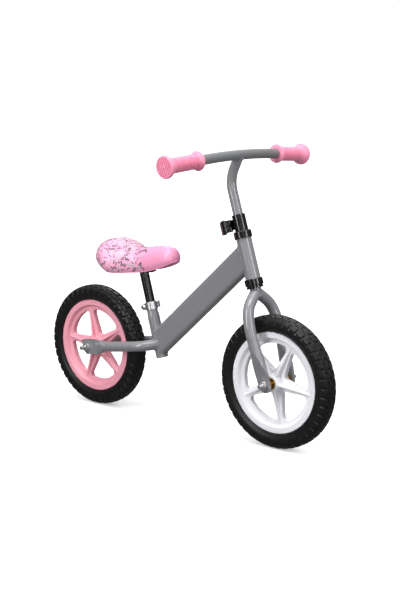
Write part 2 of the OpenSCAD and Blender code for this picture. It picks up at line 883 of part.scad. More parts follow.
// Pressed race at each hub end, with a flange that covers the bearing.
module bearing_cups() {
    for (side = [0, 1]) mirror([0, 0, side]) rotate_extrude() polygon([
        [cup_r, 16.2], [cup_r, hub_half], [12.6, hub_half], [12.6, hub_half + 1.6],
        [8.9, hub_half + 1.6], [8.9, hub_half - 0.4], [ball_circle + ball_r, ball_y + 1.5],
        [ball_circle + ball_r, 17.4], [7, 17.4], [7, 16.2]
    ]);
}

module bearing_balls() {
    for (side = [-1, 1]) translate([0, 0, side * ball_y])
        ball_ring(ball_circle, ball_r, balls_per_race);
}

module rear_rim() {
    color(rim_pink) wheel_frame(-wheelbase / 2, rear_spoke_angle) rim_solid();
}

module front_rim() {
    color(rim_white) wheel_frame(wheelbase / 2, front_spoke_angle) rim_solid();
}

module rear_tyre() {
    color(black) wheel_frame(-wheelbase / 2, 0) tyre_solid();
}

module front_tyre() {
    color(black) wheel_frame(wheelbase / 2, 0) tyre_solid();
}

module rear_bearing_cups() {
    color(zinc) axle_frame(-wheelbase / 2) bearing_cups();
}

module front_bearing_cups() {
    color(zinc) axle_frame(wheelbase / 2) bearing_cups();
}

module rear_bearing_balls() {
    color(steel) axle_frame(-wheelbase / 2) bearing_balls();
}

module front_bearing_balls() {
    color(steel) axle_frame(wheelbase / 2) bearing_balls();
}

// ---------------------------------------------------------------- axles

module axle(x, half) {
    axle_frame(x) translate([0, 0, -half]) {
        translate([0, 0, 0.8]) cylinder(r = axle_r, h = 2 * half - 1.6);
        cylinder(r1 = axle_r - 0.8, r2 = axle_r, h = 0.8);
        translate([0, 0, 2 * half - 0.8]) cylinder(r1 = axle_r, r2 = axle_r - 0.8, h = 0.8);
    }
}

// Cones: the inner races, screwed on the axle, out to the locknuts.
module cones(x) {
    inner = ball_circle - ball_r - ball_gap;
    both_sides() axle_frame(x) rotate_extrude() polygon([
        [axle_r, 17.6], [inner, 17.6], [inner, ball_y + 1.8], [8.3, hub_half + 0.4],
        [8.3, hub_half + 5.2], [axle_r, hub_half + 5.2]
    ]);
}

// Locknuts fill the space between the cones and the dropout.
module locknuts(x, drop_y) {
    low = hub_half + 5.2;
    both_sides() axle_frame(x) translate([0, 0, low])
        hex_nut(nut_af, axle_r, drop_y - drop_t / 2 - low);
}

module axle_nuts(x, face_y) {
    both_sides() axle_frame(x) translate([0, 0, face_y]) {
        hex_nut(nut_af, axle_r, nut_t);
        ring(9, axle_r, 1.2);
    }
}

rear_face = rear_drop_y + drop_t / 2;
front_face = front_drop_y + drop_t / 2;

module rear_axle() { color(steel) axle(-wheelbase / 2, rear_axle_half); }
module front_axle() { color(steel) axle(wheelbase / 2, front_axle_half); }
module rear_cones() { color(steel) cones(-wheelbase / 2); }
module front_cones() { color(steel) cones(wheelbase / 2); }
module rear_locknuts() { color(zinc) locknuts(-wheelbase / 2, rear_drop_y); }
module front_locknuts() { color(zinc) locknuts(wheelbase / 2, front_drop_y); }

module rear_washers() {
    color(chrome) both_sides() axle_frame(-wheelbase / 2) translate([0, 0, rear_face])
        ring(9.5, axle_r, washer_t);
}

module rear_axle_nuts() {
    color(chrome) axle_nuts(-wheelbase / 2, rear_face + washer_t);
}

module front_axle_nuts() {
    color(chrome) axle_nuts(wheelbase / 2, front_face + washer_t + 0.6);
}

// Tabbed washer that keeps the wheel in the fork if a nut comes loose. It lies flat on the
// leaning fork end.
module front_safety_washers() {
    tab = 21;
    color(chrome) both_sides() steer_frame() translate([0, front_drop_y, 0])
        rotate([-leg_tilt, 0, 0]) translate([0, drop_t / 2, 0]) rotate([-90, 0, 0])
            difference() {
                linear_extrude(washer_t) union() {
                    circle(9.5);
                    polygon([[-9.2, -2.5], [-1.6, -tab], [1.6, -tab], [9.2, -2.5]]);
                }
                translate([0, 0, -1]) cylinder(r = axle_r + 0.35, h = 4);
            }
}

head_tube();
down_tube();
seat_tube();
right_stay();
left_stay();
lower_headset_cup();
upper_headset_cup();
lower_headset_balls();
upper_headset_balls();
rear_axle();
rear_cones();
rear_locknuts();
rear_washers();
rear_axle_nuts();
seat_clamp_band();
seat_clamp_bolt();
seat_clamp_nut();
seat_clamp_pin();
seat_clamp_lever();
seat_post();
post_plug();
saddle_bracket();
saddle_base();
saddle_cover();
saddle_screws();
steerer_tube();
right_fork_leg();
left_fork_leg();
crown_race();
top_race();
clamp_collar();
collar_bolt();
collar_nut();
collar_pin();
collar_lever();
front_axle();
front_cones();
front_locknuts();
front_safety_washers();
front_axle_nuts();
handlebar_stem();
stem_plug();
handlebar_crossbar();
right_grip();
left_grip();
rear_rim();
rear_tyre();
rear_bearing_cups();
rear_bearing_balls();
front_rim();
front_tyre();
front_bearing_cups();
front_bearing_balls();
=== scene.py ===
"""Looks of the balance bike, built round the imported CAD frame. Metres, +X forward, +Y left, +Z up."""

import json
import math
import random

import bmesh
import bpy
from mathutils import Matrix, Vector, noise
from mathutils.bvhtree import BVHTree


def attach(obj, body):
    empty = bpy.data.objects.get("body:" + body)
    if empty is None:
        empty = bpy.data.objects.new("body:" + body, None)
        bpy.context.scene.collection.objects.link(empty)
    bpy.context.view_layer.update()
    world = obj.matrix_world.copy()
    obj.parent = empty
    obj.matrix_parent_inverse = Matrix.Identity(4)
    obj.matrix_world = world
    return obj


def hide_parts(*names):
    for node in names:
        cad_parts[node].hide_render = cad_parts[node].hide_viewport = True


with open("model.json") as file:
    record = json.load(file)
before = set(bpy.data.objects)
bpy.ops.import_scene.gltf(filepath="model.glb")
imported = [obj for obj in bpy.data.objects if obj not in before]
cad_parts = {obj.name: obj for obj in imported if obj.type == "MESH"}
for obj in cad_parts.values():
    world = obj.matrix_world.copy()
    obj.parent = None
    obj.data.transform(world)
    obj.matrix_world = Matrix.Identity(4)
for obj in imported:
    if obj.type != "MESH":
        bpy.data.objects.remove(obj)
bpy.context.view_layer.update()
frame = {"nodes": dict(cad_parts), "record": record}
nodes = frame["nodes"]
MM = 0.001


# ------------------------------------------------------------------ places

WHEELBASE = 0.56
FRONT_X = WHEELBASE / 2
REAR_X = -WHEELBASE / 2
AXLE_Z = 0.15
HEAD_TILT = math.radians(17.5)
SEAT_TILT = math.radians(16.2)
STEER_UP = Vector((-math.sin(HEAD_TILT), 0, math.cos(HEAD_TILT)))
STEER_FWD = Vector((math.cos(HEAD_TILT), 0, math.sin(HEAD_TILT)))
SEAT_UP = Vector((-math.sin(SEAT_TILT), 0, math.cos(SEAT_TILT)))
SEAT_FOOT = Vector((-0.064, 0, 0.150))
LEFT = Vector((0, 1, 0))


def steer(n, s):
    """A point n ahead of the steering axis and s up it from the front axle, in mm."""
    return Vector((FRONT_X, 0, AXLE_Z)) + STEER_FWD * n * MM + STEER_UP * s * MM


def round_wheel(angle):
    """The directions out from a wheel's axle and along its rim at an angle."""
    out = Vector((math.cos(angle), 0, math.sin(angle)))
    along = Vector((-math.sin(angle), 0, math.cos(angle)))
    return out, along


# ------------------------------------------------------------------ meshes


def mesh_object(name, verts, faces, smooth=True):
    """A new object with its normals turned outward."""
    me = bpy.data.meshes.new(name)
    me.from_pydata([tuple(v) for v in verts], [], faces)
    me.validate()
    bm = bmesh.new()
    bm.from_mesh(me)
    bmesh.ops.recalc_face_normals(bm, faces=bm.faces)
    bm.to_mesh(me)
    bm.free()
    for p in me.polygons:
        p.use_smooth = smooth
    o = bpy.data.objects.new(name, me)
    bpy.context.collection.objects.link(o)
    return o


def crisp(obj, angle):
    """Marks every edge sharper than an angle, so the shading breaks there."""
    bm = bmesh.new()
    bm.from_mesh(obj.data)
    for e in bm.edges:
        if len(e.link_faces) == 2 and e.calc_face_angle() > angle:
            e.smooth = False
    bm.to_mesh(obj.data)
    bm.free()


def loft(name, rings, caps=True):
    """Skin over equal closed rings of points. caps fills the first and the last."""
    n = len(rings[0])
    verts = [p for r in rings for p in r]
    faces = []
    for i in range(len(rings) - 1):
        for j in range(n):
            a, b = i * n + j, i * n + (j + 1) % n
            faces.append((a, b, b + n, a + n))
    if caps:
        faces.append(tuple(range(n))[::-1])
        faces.append(tuple((len(rings) - 1) * n + j for j in range(n)))
    return mesh_object(name, verts, faces)


def frame_of(axis, ref):
    """The unit axis and two directions square to it, the first of them towards ref."""
    a = axis.normalized()
    x = (ref - a * ref.dot(a)).normalized()
    return a, x, a.cross(x)


def bead(name, points, radius, rough=0.0, seed=0.0):
    """Round bead along a closed line of points, its thickness uneven by rough."""
    sides = 8
    count = len(points)
    rings = []
    up = None
    for i, p in enumerate(points):
        d = points[(i + 1) % count] - points[i - 1]
        d.normalize()
        if up is None:
            up = d.orthogonal().normalized()
        up = (up - d * up.dot(d)).normalized()
        side = d.cross(up)
        w = radius * (1 + rough * noise.noise(p * 420 + Vector((seed, 0, 0))))
        ring = []
        for k in range(sides):
            t = 2 * math.pi * k / sides
            ring.append(p + (up * math.cos(t) + side * math.sin(t)) * w)
        rings.append(ring)
    # the ring turns a little on its way round, so the last one is matched to the first
    first, last = rings[0], rings[-1]

    def gap(turn):
        return sum((first[j] - last[(j + turn) % sides]).length for j in range(sides))

    shift = min(range(sides), key=gap)
    faces = []
    for i in range(count - 1):
        for j in range(sides):
            a, b = i * sides + j, i * sides + (j + 1) % sides
            faces.append((a, b, b + sides, a + sides))
    end = (count - 1) * sides
    for j in range(sides):
        faces.append((end + (j + shift) % sides, end + (j + 1 + shift) % sides, (j + 1) % sides, j))
    return mesh_object(name, [v for r in rings for v in r], faces)


def add_block(verts, faces, corners):
    """Adds a six-sided block from eight corners, in two ends of two rows of two."""
    base = len(verts)
    verts += corners
    for q in ((0, 1, 3, 2), (4, 6, 7, 5), (0, 4, 5, 1), (2, 3, 7, 6), (1, 5, 7, 3), (0, 2, 6, 4)):
        faces.append(tuple(base + i for i in q))


def tree(*names):
    """A search tree over the meshes of some CAD nodes."""
    verts, polys = [], []
    for nm in names:
        me = nodes[nm].data
        base = len(verts)
        verts += [v.co.copy() for v in me.vertices]
        polys += [[base + i for i in p.vertices] for p in me.polygons]
    return BVHTree.FromPolygons(verts, polys)


def hits(starts, direction, targets):
    """Where rays from the starts meet the target nodes."""
    found = []
    t = tree(*targets)
    for p in starts:
        loc, _, _, _ = t.ray_cast(p, direction)
        if loc is not None:
            found.append(loc)
    return found


def resample(points, step):
    """The closed line through points with its corners at even steps."""
    pts = points + points[:1]
    total = sum((pts[i + 1] - pts[i]).length for i in range(len(points)))
    count = max(12, int(total / step))
    out, i, used = [], 0, 0.0
    for k in range(count):
        want = total * k / count
        while used + (pts[i + 1] - pts[i]).length < want:
            used += (pts[i + 1] - pts[i]).length
            i += 1
        seg = (pts[i + 1] - pts[i]).length
        out.append(pts[i].lerp(pts[i + 1], (want - used) / seg if seg else 0))
    for _ in range(2):
        out = [(out[i - 1] + out[i] * 2 + out[(i + 1) % len(out)]) / 4 for i in range(len(out))]
    return out


# ------------------------------------------------------------------ materials


class Nodes:
    """Short names for building a node material."""

    def __init__(self, name):
        self.mat = bpy.data.materials.new(name)
        self.mat.use_nodes = True
        self.t = self.mat.node_tree
        self.bsdf = self.t.nodes["Principled BSDF"]
        self.pos = self.add("ShaderNodeTexCoord").outputs["Object"]

    def add(self, kind, **sets):
        n = self.t.nodes.new(kind)
        for k, v in sets.items():
            setattr(n, k, v)
        return n

    def link(self, a, b):
        self.t.links.new(a, b)

    def noise(self, scale, detail=2.0, rough=0.5, vector=None):
        n = self.add("ShaderNodeTexNoise")
        n.inputs["Scale"].default_value = scale
        n.inputs["Detail"].default_value = detail
        n.inputs["Roughness"].default_value = rough
        self.link(vector or self.pos, n.inputs["Vector"])
        return n.outputs["Fac"]

    def stretch(self, scale):
        m = self.add("ShaderNodeMapping")
        m.inputs["Scale"].default_value = scale
        self.link(self.pos, m.inputs["Vector"])
        return m.outputs["Vector"]

    def ramp(self, fac, stops):
        """Colour from a 0 to 1 value, by (position, colour) stops."""
        r = self.add("ShaderNodeValToRGB")
        e = r.color_ramp.elements
        while len(e) < len(stops):
            e.new(0.5)
        for el, (p, c) in zip(e, stops):
            el.position = p
            el.color = (*c, 1)
        self.link(fac, r.inputs["Fac"])
        return r.outputs["Color"]

    def span(self, fac, lo, hi, a=0.3, b=0.7):
        """Maps a to b onto lo to hi, held at both ends."""
        m = self.add("ShaderNodeMapRange")
        m.inputs["From Min"].default_value = a
        m.inputs["From Max"].default_value = b
        m.inputs["To Min"].default_value = lo
        m.inputs["To Max"].default_value = hi
        self.link(fac, m.inputs["Value"])
        return m.outputs["Result"]

    def bump(self, height, distance, under=None):
        b = self.add("ShaderNodeBump")
        b.inputs["Strength"].default_value = 1.0
        b.inputs["Distance"].default_value = distance
        self.link(height, b.inputs["Height"])
        if under is not None:
            self.link(under, b.inputs["Normal"])
        return b.outputs["Normal"]


def lin(c):
    """Linear light from screen values of 0 to 1."""
    return tuple(v / 12.92 if v <= 0.04045 else ((v + 0.055) / 1.055) ** 2.4 for v in c)


def shade(c, k):
    return tuple(min(1.0, v * k) for v in c)


def coated(name, colour, rough, metallic=0.0, coat=0.0, coat_rough=0.08, vary=0.06,
           patch=30, grain=900, grain_depth=0.00004, wave=90, wave_depth=0.0, spread=0.06):
    """Paint, plating or moulded plastic: slow colour drift, uneven gloss, fine grain over slow waves."""
    m = Nodes(name)
    c = lin(colour)
    b = m.bsdf.inputs
    m.link(m.ramp(m.noise(patch, 4), [(0.3, shade(c, 1 - vary)), (0.7, shade(c, 1 + vary))]), b["Base Color"])
    m.link(m.span(m.noise(patch * 2.3, 5, 0.6), rough - spread, rough + spread), b["Roughness"])
    n = m.bump(m.noise(grain, 2), grain_depth) if grain_depth else None
    if wave_depth:
        n = m.bump(m.noise(wave, 1), wave_depth, under=n)
    if n is not None:
        m.link(n, b["Normal"])
    b["Metallic"].default_value = metallic
    b["IOR"].default_value = 1.5
    b["Coat Weight"].default_value = coat
    b["Coat Roughness"].default_value = coat_rough
    return m


def brushed(name, colour, rough, stretch):
    """Drawn or turned metal with fine lines."""
    m = Nodes(name)
    c = lin(colour)
    b = m.bsdf.inputs
    lines = m.noise(1.0, 3, 0.6, m.stretch(stretch))
    m.link(m.ramp(lines, [(0.25, shade(c, 0.86)), (0.75, shade(c, 1.08))]), b["Base Color"])
    m.link(m.span(lines, rough - 0.08, rough + 0.1), b["Roughness"])
    m.link(m.bump(lines, 0.00003), b["Normal"])
    b["Metallic"].default_value = 1.0
    return m


frame_paint = coated("frame_paint_look", (0.53, 0.53, 0.545), 0.29, coat=0.55, coat_rough=0.08,
                     vary=0.012, patch=12, wave=30, wave_depth=0.00001, grain_depth=0.0)
bar_paint = coated("bar_paint_look", (0.47, 0.475, 0.485), 0.50, coat=0.08, coat_rough=0.3,
                   vary=0.02, grain_depth=0.000015)
black_paint = coated("black_paint_look", (0.018, 0.018, 0.020), 0.20, coat=0.5, coat_rough=0.06,
                     vary=0.1, wave=60, wave_depth=0.00002)
black_parts = coated("black_parts_look", (0.024, 0.024, 0.025), 0.25, coat=0.4, coat_rough=0.10,
                     vary=0.06, grain=1300, grain_depth=0.00001)
blackened = coated("blackened_steel_look", (0.10, 0.10, 0.105), 0.38, metallic=1.0, vary=0.05)
chrome = coated("chrome_look", (0.93, 0.93, 0.94), 0.30, metallic=1.0, vary=0.02,
                grain_depth=0.0, spread=0.03)
zinc = coated("zinc_look", (0.78, 0.60, 0.26), 0.28, metallic=1.0, vary=0.16, patch=160,
              grain=1500, grain_depth=0.00003, spread=0.08)
axle_steel = brushed("axle_steel_look", (0.80, 0.80, 0.81), 0.34, (300, 5200, 300))
bearing_steel = brushed("bearing_steel_look", (0.72, 0.72, 0.74), 0.16, (500, 500, 500))
rear_plastic = coated("rear_rim_look", (1.0, 0.69, 0.755), 0.38, coat=0.12, coat_rough=0.3, vary=0.03,
                      grain=1700, grain_depth=0.00005, wave=60, wave_depth=0.0001)
front_plastic = coated("front_rim_look", (0.975, 0.975, 0.995), 0.36, coat=0.12, coat_rough=0.3, vary=0.012,
                       grain=1700, grain_depth=0.00005, wave=60, wave_depth=0.0001)


def tyre_material():
    """Closed-cell foam: fine pores, with dust in random patches."""
    m = Nodes("tyre_look")
    b = m.bsdf.inputs
    pores = m.add("ShaderNodeTexVoronoi", feature="F1")
    pores.inputs["Scale"].default_value = 950
    m.link(m.pos, pores.inputs["Vector"])
    fine = m.noise(420, 6, 0.65)
    clean, dusty = (0.0030, 0.0030, 0.0031), (0.0085, 0.0083, 0.0080)
    m.link(m.ramp(m.noise(55, 5, 0.6), [(0.30, clean), (0.75, dusty)]), b["Base Color"])
    m.link(m.span(fine, 0.30, 0.50), b["Roughness"])
    m.link(m.bump(pores.outputs["Distance"], 0.00005, under=m.bump(fine, 0.00005)), b["Normal"])
    b["IOR"].default_value = 1.40
    return m


def saddle_material():
    """Glossy vinyl with a fine pebble grain, paler at the printed rear."""
    m = Nodes("saddle_look")
    b = m.bsdf.inputs
    c = lin((1.0, 0.635, 0.785))
    pale = lin((1.0, 0.68, 0.815))
    pebble = m.add("ShaderNodeTexVoronoi", feature="SMOOTH_F1")
    pebble.inputs["Scale"].default_value = 620
    m.link(m.pos, pebble.inputs["Vector"])
    drift = m.ramp(m.noise(22, 4), [(0.3, shade(c, 0.96)), (0.7, (c[0], c[1] * 1.06, c[2] * 1.04))])
    place_x = m.add("ShaderNodeSeparateXYZ")
    m.link(m.pos, place_x.inputs["Vector"])
    mix = m.add("ShaderNodeMix", data_type="RGBA")
    m.link(m.span(place_x.outputs["X"], 1.0, 0.0, -0.150, -0.105), mix.inputs[0])
    m.link(drift, mix.inputs[6])
    mix.inputs[7].default_value = (*pale, 1)
    m.link(mix.outputs[2], b["Base Color"])
    m.link(m.span(m.noise(70, 5), 0.42, 0.50), b["Roughness"])
    m.link(m.bump(pebble.outputs["Distance"], 0.00006, under=m.bump(m.noise(30, 2), 0.0001)), b["Normal"])
    b["Coat Weight"].default_value = 0.3
    b["Coat Roughness"].default_value = 0.18
    b["Subsurface Weight"].default_value = 0.08
    b["Subsurface Radius"].default_value = (0.006, 0.003, 0.003)
    b["Subsurface Scale"].default_value = 0.5
    return m


def grip_material():
    """Soft satin rubber."""
    m = Nodes("grip_look")
    b = m.bsdf.inputs
    c = lin((0.99, 0.60, 0.72))
    m.link(m.ramp(m.noise(90, 5), [(0.3, shade(c, 0.95)), (0.7, shade(c, 1.04))]), b["Base Color"])
    m.link(m.span(m.noise(160, 4), 0.48, 0.60), b["Roughness"])
    m.link(m.bump(m.noise(1400, 3), 0.00006), b["Normal"])
    b["Sheen Weight"].default_value = 0.15
    b["Sheen Roughness"].default_value = 0.4
    b["Subsurface Weight"].default_value = 0.10
    b["Subsurface Radius"].default_value = (0.004, 0.0015, 0.002)
    b["Subsurface Scale"].default_value = 0.5
    return m


# darker pink for the grips' recesses: painted shade in the valleys between the ribs and in the grooves of the
# end face
grip_groove_painted_shade = coated("grip_groove_painted_shade_look", (0.88, 0.36, 0.50), 0.6, vary=0.05, patch=90)
tyre_look = tyre_material()
saddle_look = saddle_material()
grip_look = grip_material()
ink = coated("print_dark_look", (0.40, 0.385, 0.43), 0.5, coat=0.05, vary=0.25, patch=120)
ink_pale = coated("print_silver_look", (0.72, 0.72, 0.74), 0.5, coat=0.05, vary=0.2, patch=120)

LOOKS = {
    "frame_paint": frame_paint,
    "bar_paint": bar_paint,
    "black_paint": black_paint,
    "black_parts": black_parts,
    "bearing_steel": bearing_steel,
    "axle_steel": axle_steel,
    "zinc": zinc,
    "chrome": chrome,
    "saddle_vinyl": saddle_look,
    "grip_foam": grip_look,
    "rear_rim_plastic": rear_plastic,
    "front_rim_plastic": front_plastic,
    "tyre": tyre_look,
}
for part in frame["record"]["subparts"]:
    o = nodes[part["node"]]
    o.data.materials.clear()
    # no bright metal shows at the handlebar clamp, so its fasteners are blackened
    dark = part["node"] in ("collar_bolt", "collar_nut", "collar_pin")
    o.data.materials.append((blackened if dark else LOOKS[part["material_slot"]]).mat)


def place(obj, body, slot, look=None):
    """Gives a new piece its material, picked by its slot unless a look is given, and its body."""
    obj.data.materials.clear()
    obj.data.materials.append((look or LOOKS[slot]).mat)
    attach(obj, body)
    return obj


# ------------------------------------------------------------------ camera



def view_direction(azimuth, elevation):
    """From the object towards a viewer at these angles, in degrees."""
    a, e = math.radians(azimuth), math.radians(elevation)
    return Vector((math.sin(a) * math.cos(e), -math.cos(a) * math.cos(e), math.sin(e)))


def turn_to_face(obj, direction):
    """Points a camera or lamp back along a direction."""
    obj.rotation_euler = direction.to_track_quat("Z", "Y").to_euler()


def build_camera():
    data = bpy.data.cameras.new("camera")
    data.sensor_width = 36
    data.lens = 74.574
    cam = bpy.data.objects.new("camera", data)
    bpy.context.collection.objects.link(cam)
    back = view_direction(41.02, 11.09)
    cam.location = Vector((0.0544, 0, 0.3045)) + back * 2.8565
    turn_to_face(cam, back)
    bpy.context.scene.camera = cam


build_camera()


# ------------------------------------------------------------------ tyres

BLOCKS = 44
TYRE_COLUMNS = BLOCKS * 20
TREAD_FROM = 132      # radius where the tread starts, mm
CENTRE_ROW = 6.2      # half-width of the middle row of blocks, mm
SHOULDER = 14.0       # where the outer rows start, mm
CRISP_EDGE = 0.55     # edges sharper than this angle stay sharp, radians
# half of the tyre's section, (radius, half-width) in mm, from the rim to the middle of the tread
TYRE_HALF = [
    (106.0, 13.4), (114.0, 13.5), (114.6, 15.9), (116.0, 18.2), (118.0, 19.0), (119.2, 18.5),
    (121.0, 19.4), (124.5, 20.7), (128.0, 21.3), (132.0, 21.5), (135.0, 21.5), (137.5, 21.4),
    (140.0, 21.0), (142.2, 20.1), (144.0, 18.9), (145.6, 17.4), (146.8, 15.8), (147.6, 14.6),
    (147.9, 14.0), (148.2, 13.4), (148.7, 12.2), (149.1, 10.5), (149.5, 8.5), (149.7, 6.9),
    (149.75, 6.2), (149.8, 5.5), (149.9, 3.5), (150.0, 1.6), (150.0, 0.0),
]


def groove(d, half, soft):
    """1 inside a groove of this half-width, falling to 0 over soft."""
    return 1 - min(1, max(0, (abs(d) - half) / soft))


def tread_cut(u, y, r):
    """How far the surface lies below the tread's top, in mm, at block count u round the tyre."""
    if r <= TREAD_FROM:
        return 0.0
    ay = abs(y)
    side = 1 if y > 0 else -1
    # grooves across the tyre, staggered from row to row and raked
    if ay < CENTRE_ROW:
        f = (u + 0.06 * y / 3) % 1 - 0.5
    elif ay < SHOULDER:
        f = (u + 0.5 + side * 0.05 * (ay - 10)) % 1 - 0.5
    else:
        f = (u + side * 0.02 * (ay - 14)) % 1 - 0.5
    wide, deep = (0.07, 2.6) if ay < SHOULDER else (0.11, 3.3)
    fade = min(1, (r - TREAD_FROM) / 5)
    cut = deep * groove(f, wide, 0.05) * fade
    # grooves round the tyre
    for line in (CENTRE_ROW, SHOULDER):
        cut = max(cut, 2.0 * groove(ay - line, 0.5, 0.6) * fade)
    return cut


def tyre_ring(x, k, profile):
    """Section k of a tyre with its tread cut in."""
    t = 2 * math.pi * k / TYRE_COLUMNS
    u = BLOCKS * k / TYRE_COLUMNS
    ring = []
    for r, y in profile:
        d = tread_cut(u, y, r)
        # the shoulder is cut along the axle as well as towards it
        lean = max(0.0, (abs(y) - 10) / 11.5) ** 2 if r > TREAD_FROM else 0
        rr = r - d * (1 - 0.75 * lean)
        yy = y - math.copysign(d * 0.75 * lean, y) if y else 0
        ring.append(Vector((x + rr * MM * math.cos(t), yy * MM, AXLE_Z + rr * MM * math.sin(t))))
    return ring


def vent_marks(name, x, turn):
    """Short raised ticks on both sidewalls, left by the mould's vents."""
    verts, faces = [], []
    count = BLOCKS // 2
    for side in (-1, 1):
        for k in range(count):
            out, along = round_wheel(2 * math.pi * (k + 0.5 + 0.25 * side) / count + turn)
            corners = []
            for r in (125.5, 128.0):
                for w in (-0.35, 0.35):
                    for y in (20.4, 21.75):
                        corners.append(Vector((x, side * y * MM, AXLE_Z)) + out * r * MM + along * w * MM)
            add_block(verts, faces, corners)
    return mesh_object(name, verts, faces, smooth=False)


def tyre(name, x, body, node, turn):
    """A tyre with a moulded block tread and vent marks, standing for its CAD node."""
    profile = TYRE_HALF + [(r, -y) for r, y in TYRE_HALF[-2::-1]]
    rings = [tyre_ring(x, k, profile) for k in range(TYRE_COLUMNS)]
    n = len(profile)
    faces = []
    for i in range(TYRE_COLUMNS):
        near, far = i * n, ((i + 1) % TYRE_COLUMNS) * n
        for j in range(n):
            following = (j + 1) % n
            faces.append((near + j, near + following, far + following, far + j))
    o = mesh_object(name, [p for r in rings for p in r], faces)
    crisp(o, CRISP_EDGE)
    place(o, body, "tyre")
    place(vent_marks(name + "_vent_marks", x, turn), body, "tyre")
    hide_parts(node)


tyre("rear_tyre_treaded", REAR_X, "rear_wheel", "rear_tyre", 0.0)
tyre("front_tyre_treaded", FRONT_X, "front_wheel", "front_tyre", 0.04)


# ------------------------------------------------------------------ rims and levers


def moulded(name, node, body, slot, voxel=0.0013, ratio=0.35):
    """The CAD node with every edge softened as a moulding's or a casting's are."""
    me = nodes[node].data.copy()
    me.name = name
    o = bpy.data.objects.new(name, me)
    bpy.context.collection.objects.link(o)
    for kind, sets in (
        ("WELD", {"merge_threshold": 0.00002}),
        ("REMESH", {"mode": "VOXEL", "voxel_size": voxel, "use_smooth_shade": True}),
        ("SMOOTH", {"factor": 0.5, "iterations": 5}),
        ("DECIMATE", {"ratio": ratio}),
    ):
        mod = o.modifiers.new(kind.lower(), kind)
        for k, v in sets.items():
            setattr(mod, k, v)
    dg = bpy.context.evaluated_depsgraph_get()
    baked = bpy.data.meshes.new_from_object(o.evaluated_get(dg))
    o.modifiers.clear()
    o.data = baked
    for p in baked.polygons:
        p.use_smooth = True
    place(o, body, slot)
    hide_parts(node)


moulded("rear_rim_moulded", "rear_rim", "rear_wheel", "rear_rim_plastic")
moulded("front_rim_moulded", "front_rim", "front_wheel", "front_rim_plastic")


def rim_teeth(name, x, body, slot):
    """Fine raised teeth round both faces of a rim, beside the tyre."""
    count = 132
    # the foot and the top of a tooth: radius, half-width and distance from the rim's middle, mm
    sections = ((107.0, 1.5, 15.2), (113.4, 1.5, 15.2), (107.8, 1.0, 16.4), (113.0, 1.0, 16.4))
    verts, faces = [], []
    for side in (-1, 1):
        for k in range(count):
            out, along = round_wheel(2 * math.pi * k / count)
            corners = []
            for r, w, y in sections:
                for q in (-w, w):
                    corners.append(Vector((x, side * y * MM, AXLE_Z)) + out * r * MM + along * q * MM)
            add_block(verts, faces, corners)
    place(mesh_object(name, verts, faces, smooth=False), body, slot)


rim_teeth("rear_rim_teeth", REAR_X, "rear_wheel", "rear_rim_plastic")
rim_teeth("front_rim_teeth", FRONT_X, "front_wheel", "front_rim_plastic")
moulded("collar_lever_cast", "collar_lever", "handlebar_clamp_lever", "black_parts", 0.0006, 0.5)
moulded("seat_clamp_lever_cast", "seat_clamp_lever", "seat_clamp_lever", "chrome", 0.0004, 0.6)


# ------------------------------------------------------------------ grips

BAR_TILT = math.radians(65.2)
BAR_DOWN = Vector((-math.cos(BAR_TILT), 0, -math.sin(BAR_TILT)))
BAR_R, BAR_A = 1542.0, math.radians(4.5)
STEM_A = math.radians(43)
STEM_R, STEM_TAIL, STEM_RISE = 70, 34, 431
BAR_CENTRE = steer(STEM_R * (1 - math.cos(STEM_A)) + STEM_TAIL * math.sin(STEM_A),
                   STEM_RISE + STEM_R * math.sin(STEM_A) + STEM_TAIL * math.cos(STEM_A))
GRIP_START, GRIP_L = 12.0, 105.0
RIB_PITCH, RIB_START, RIBS = 4.5, 12.0, 15
FACE_FROM, FACE_TO = 4.5, 21    # radii between which the end face is grooved, mm


def grip_profile():
    """(radius, distance along) in mm from the inner flange over the ribs to the outer flange."""
    profile = [(11.2, 0.0), (17.5, 0.0), (19.6, 0.5), (21.0, 1.7), (21.5, 3.4), (21.0, 5.0), (19.6, 6.2),
               (17.6, 7.4), (16.4, 9.2), (15.9, 11.0)]
    rib = ((14.7, 0), (15.6, 0.6), (16.3, 1.3), (16.4, 2.1), (16.3, 2.9), (15.6, 3.6), (14.7, 4.2))
    for i in range(RIBS):
        profile += [(r, RIB_START + RIB_PITCH * i + z) for r, z in rib]
    profile.append((15.6, RIB_START + RIB_PITCH * RIBS + 0.5))
    flare = ((16.2, 20.5), (17.4, 17.0), (19.6, 13.0), (22.0, 10.2), (23.6, 8.6), (24.2, 7.2), (24.5, 5.5),
             (24.6, 3.4), (24.2, 1.6), (23.2, 0.5), (22.2, 0))
    return profile + [(r, GRIP_L - z) for r, z in flare]


def face_height(py, r):
    """Height of a grip's domed end face, with grooves across it and a raised dot in the middle."""
    h = 0.35 * math.sqrt(max(0, 1 - (r / 22.2) ** 2)) + 0.2
    if FACE_FROM < r < FACE_TO:
        h -= 0.9 * max(0.0, math.cos(2 * math.pi * py / 5.6)) ** 2
    if r < 2.5:
        h += 0.8
    return h


def grip_rings(origin, a, x, y, n):
    """Rings of n points along a grip and over its end face."""
    rings = []
    for r, z in grip_profile():
        ring = []
        for k in range(n):
            t = 2 * math.pi * k / n
            rr = r
            if z > GRIP_L - 8 and r > 22.3:
                # fine crenellations round the outer flange
                rr -= 0.55 * max(0.0, math.cos(36 * t)) * min(1, (r - 22.3) / 1.0)
            ring.append(origin + a * z * MM + (x * math.cos(t) + y * math.sin(t)) * rr * MM)
        rings.append(ring)
    for r in [21.4 - 0.9 * i for i in range(23)] + [0.8]:
        ring = []
        for k in range(n):
            t = 2 * math.pi * k / n
            px, py = r * math.cos(t), r * math.sin(t)
            ring.append(origin + a * (GRIP_L + face_height(py, r)) * MM + (x * px + y * py) * MM)
        rings.append(ring)
    return rings


